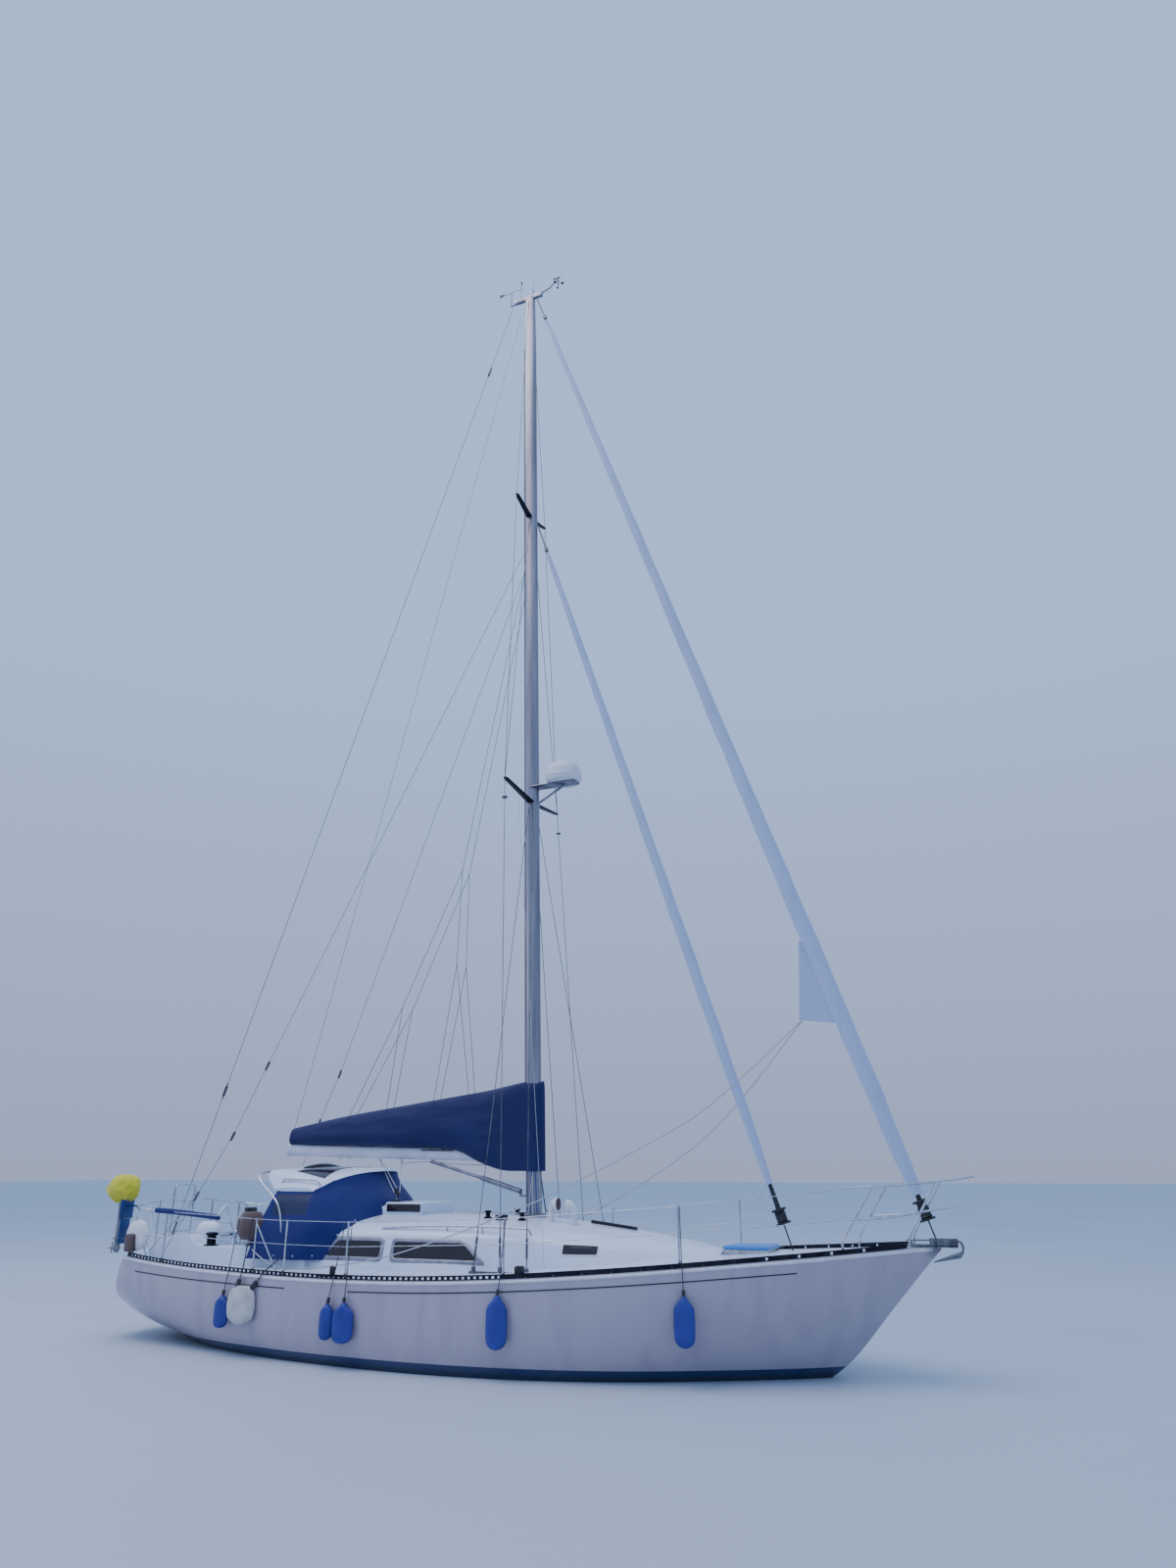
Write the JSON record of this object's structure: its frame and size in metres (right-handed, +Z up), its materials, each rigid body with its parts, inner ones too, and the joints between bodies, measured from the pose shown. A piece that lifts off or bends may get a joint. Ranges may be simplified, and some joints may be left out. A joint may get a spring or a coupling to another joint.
{
  "type": "sailing yacht",
  "caption": "masthead-rigged cruising yacht afloat with furled headsails, covered mainsail on its boom, hard-top dodger, fin keel and spade rudder",
  "frame": {"origin": "on the waterline, at the centreline, amidships", "axes": "+X towards the bow, +Y to port, +Z up"},
  "size_m": [11.1849, 3.3992, 18.276],
  "materials": {
    "gelcoat": "glossy white gelcoat",
    "antifouling": "matt blue bottom paint",
    "bronze": "dull bronze",
    "black_rail": "black anodised",
    "smoked_pane": "smoked acrylic",
    "teak": "oiled teak",
    "stainless": "polished stainless steel",
    "hatch_pane": "pale blue acrylic lid",
    "blue_canvas": "woven acrylic canvas",
    "grey_paint": "satin grey",
    "anodised_spar": "clear anodised, weathered",
    "dome_plastic": "white moulding",
    "sailcloth": "rolled polyester sailcloth",
    "yellow_canvas": "soft yellow cover"
  },
  "bodies": {
    "yacht": {"hull": "gelcoat", "keel": "antifouling", "shaft_strut": "bronze", "toe_rail_port": "black_rail", "toe_rail_starboard": "black_rail", "coachroof": "gelcoat", "window_forward_port": "smoked_pane", "window_aft_port": "smoked_pane", "side_port_port": "smoked_pane", "window_forward_starboard": "smoked_pane", "window_aft_starboard": "smoked_pane", "side_port_starboard": "smoked_pane", "washboards": "teak", "hatch_hood": "gelcoat", "foredeck_hatch_frame": "stainless", "dodger_roof": "gelcoat", "dodger_canvas": "blue_canvas", "dodger_bow": "stainless", "handrail_port": "stainless", "handrail_starboard": "stainless", "pulpit": "stainless", "pushpit": "stainless", "lifelines_port": "stainless", "lifelines_starboard": "stainless", "bow_roller": "stainless", "anchor": "grey_paint", "mast": "anodised_spar", "radar_dome": "dome_plastic", "shrouds_port": "stainless", "shrouds_starboard": "stainless", "backstay": "stainless", "genoa_furler": "stainless", "furled_genoa": "sailcloth", "genoa_head_stay": "stainless", "staysail_furler": "stainless", "furled_staysail": "sailcloth", "staysail_head_stay": "stainless", "mast_collar": "blue_canvas", "pedestal": "gelcoat", "primary_winch_port": "stainless", "primary_winch_starboard": "stainless", "secondary_winch_port": "stainless", "secondary_winch_starboard": "stainless", "ladder_bracket": "stainless", "motor_pad": "grey_paint", "outboard_leg": "grey_paint", "outboard_cover": "yellow_canvas"},
    "rudder": {"rudder": "antifouling"},
    "wheel": {"steering_wheel": "stainless"},
    "propeller": {"propeller": "bronze"},
    "boom": {"boom": "anodised_spar", "sail_cover": "blue_canvas", "boom_vang": "grey_paint"},
    "hatch": {"companionway_hatch": "gelcoat"},
    "forehatch": {"foredeck_hatch": "hatch_pane"},
    "ladder": {"boarding_ladder": "stainless"},
    "vane": {"wind_vane": "black_rail"},
    "cups": {"wind_cups": "black_rail"}
  },
  "joints": [
    {"name": "rudder_turn", "type": "hinge", "parent": "yacht", "child": "rudder", "pos_m": [-4.02, 0, -0.5], "axis": [0, 0, 1], "range_deg": [-35, 35]},
    {"name": "wheel_turn", "type": "hinge", "parent": "yacht", "child": "wheel", "pos_m": [-4.18, 0, 1.25], "axis": [1, 0, 0], "range_deg": [-450, 450]},
    {"name": "propeller_spin", "type": "hinge", "parent": "yacht", "child": "propeller", "pos_m": [-3.42, 0, -0.545], "axis": [0.9769, 0, 0.2137], "continuous": true},
    {"name": "boom_swing", "type": "hinge", "parent": "yacht", "child": "boom", "pos_m": [0.245, 0, 2.22], "axis": [0, 0, 1], "range_deg": [-75, 75]},
    {"name": "hatch_slide", "type": "slide", "parent": "yacht", "child": "hatch", "axis": [1, 0, 0], "range_m": [0, 0.5]},
    {"name": "forehatch_open", "type": "hinge", "parent": "yacht", "child": "forehatch", "pos_m": [3.412, 0, 1.2251], "axis": [0, 1, 0], "range_deg": [0, 80]},
    {"name": "ladder_fold", "type": "hinge", "parent": "yacht", "child": "ladder", "pos_m": [-5.37, 0, 1.13], "axis": [0, -1, 0], "range_deg": [0, 160]},
    {"name": "vane_turn", "type": "hinge", "parent": "yacht", "child": "vane", "pos_m": [-0.324, 0.018, 16.61], "axis": [0, 0, 1], "continuous": true},
    {"name": "cups_spin", "type": "hinge", "parent": "yacht", "child": "cups", "pos_m": [0.593, 0, 16.43], "axis": [0, 0, 1], "continuous": true}
  ],
  "couplings": [
    {"joint": "wheel_turn", "follows": "rudder_turn", "ratio": 12.857}
  ]
}
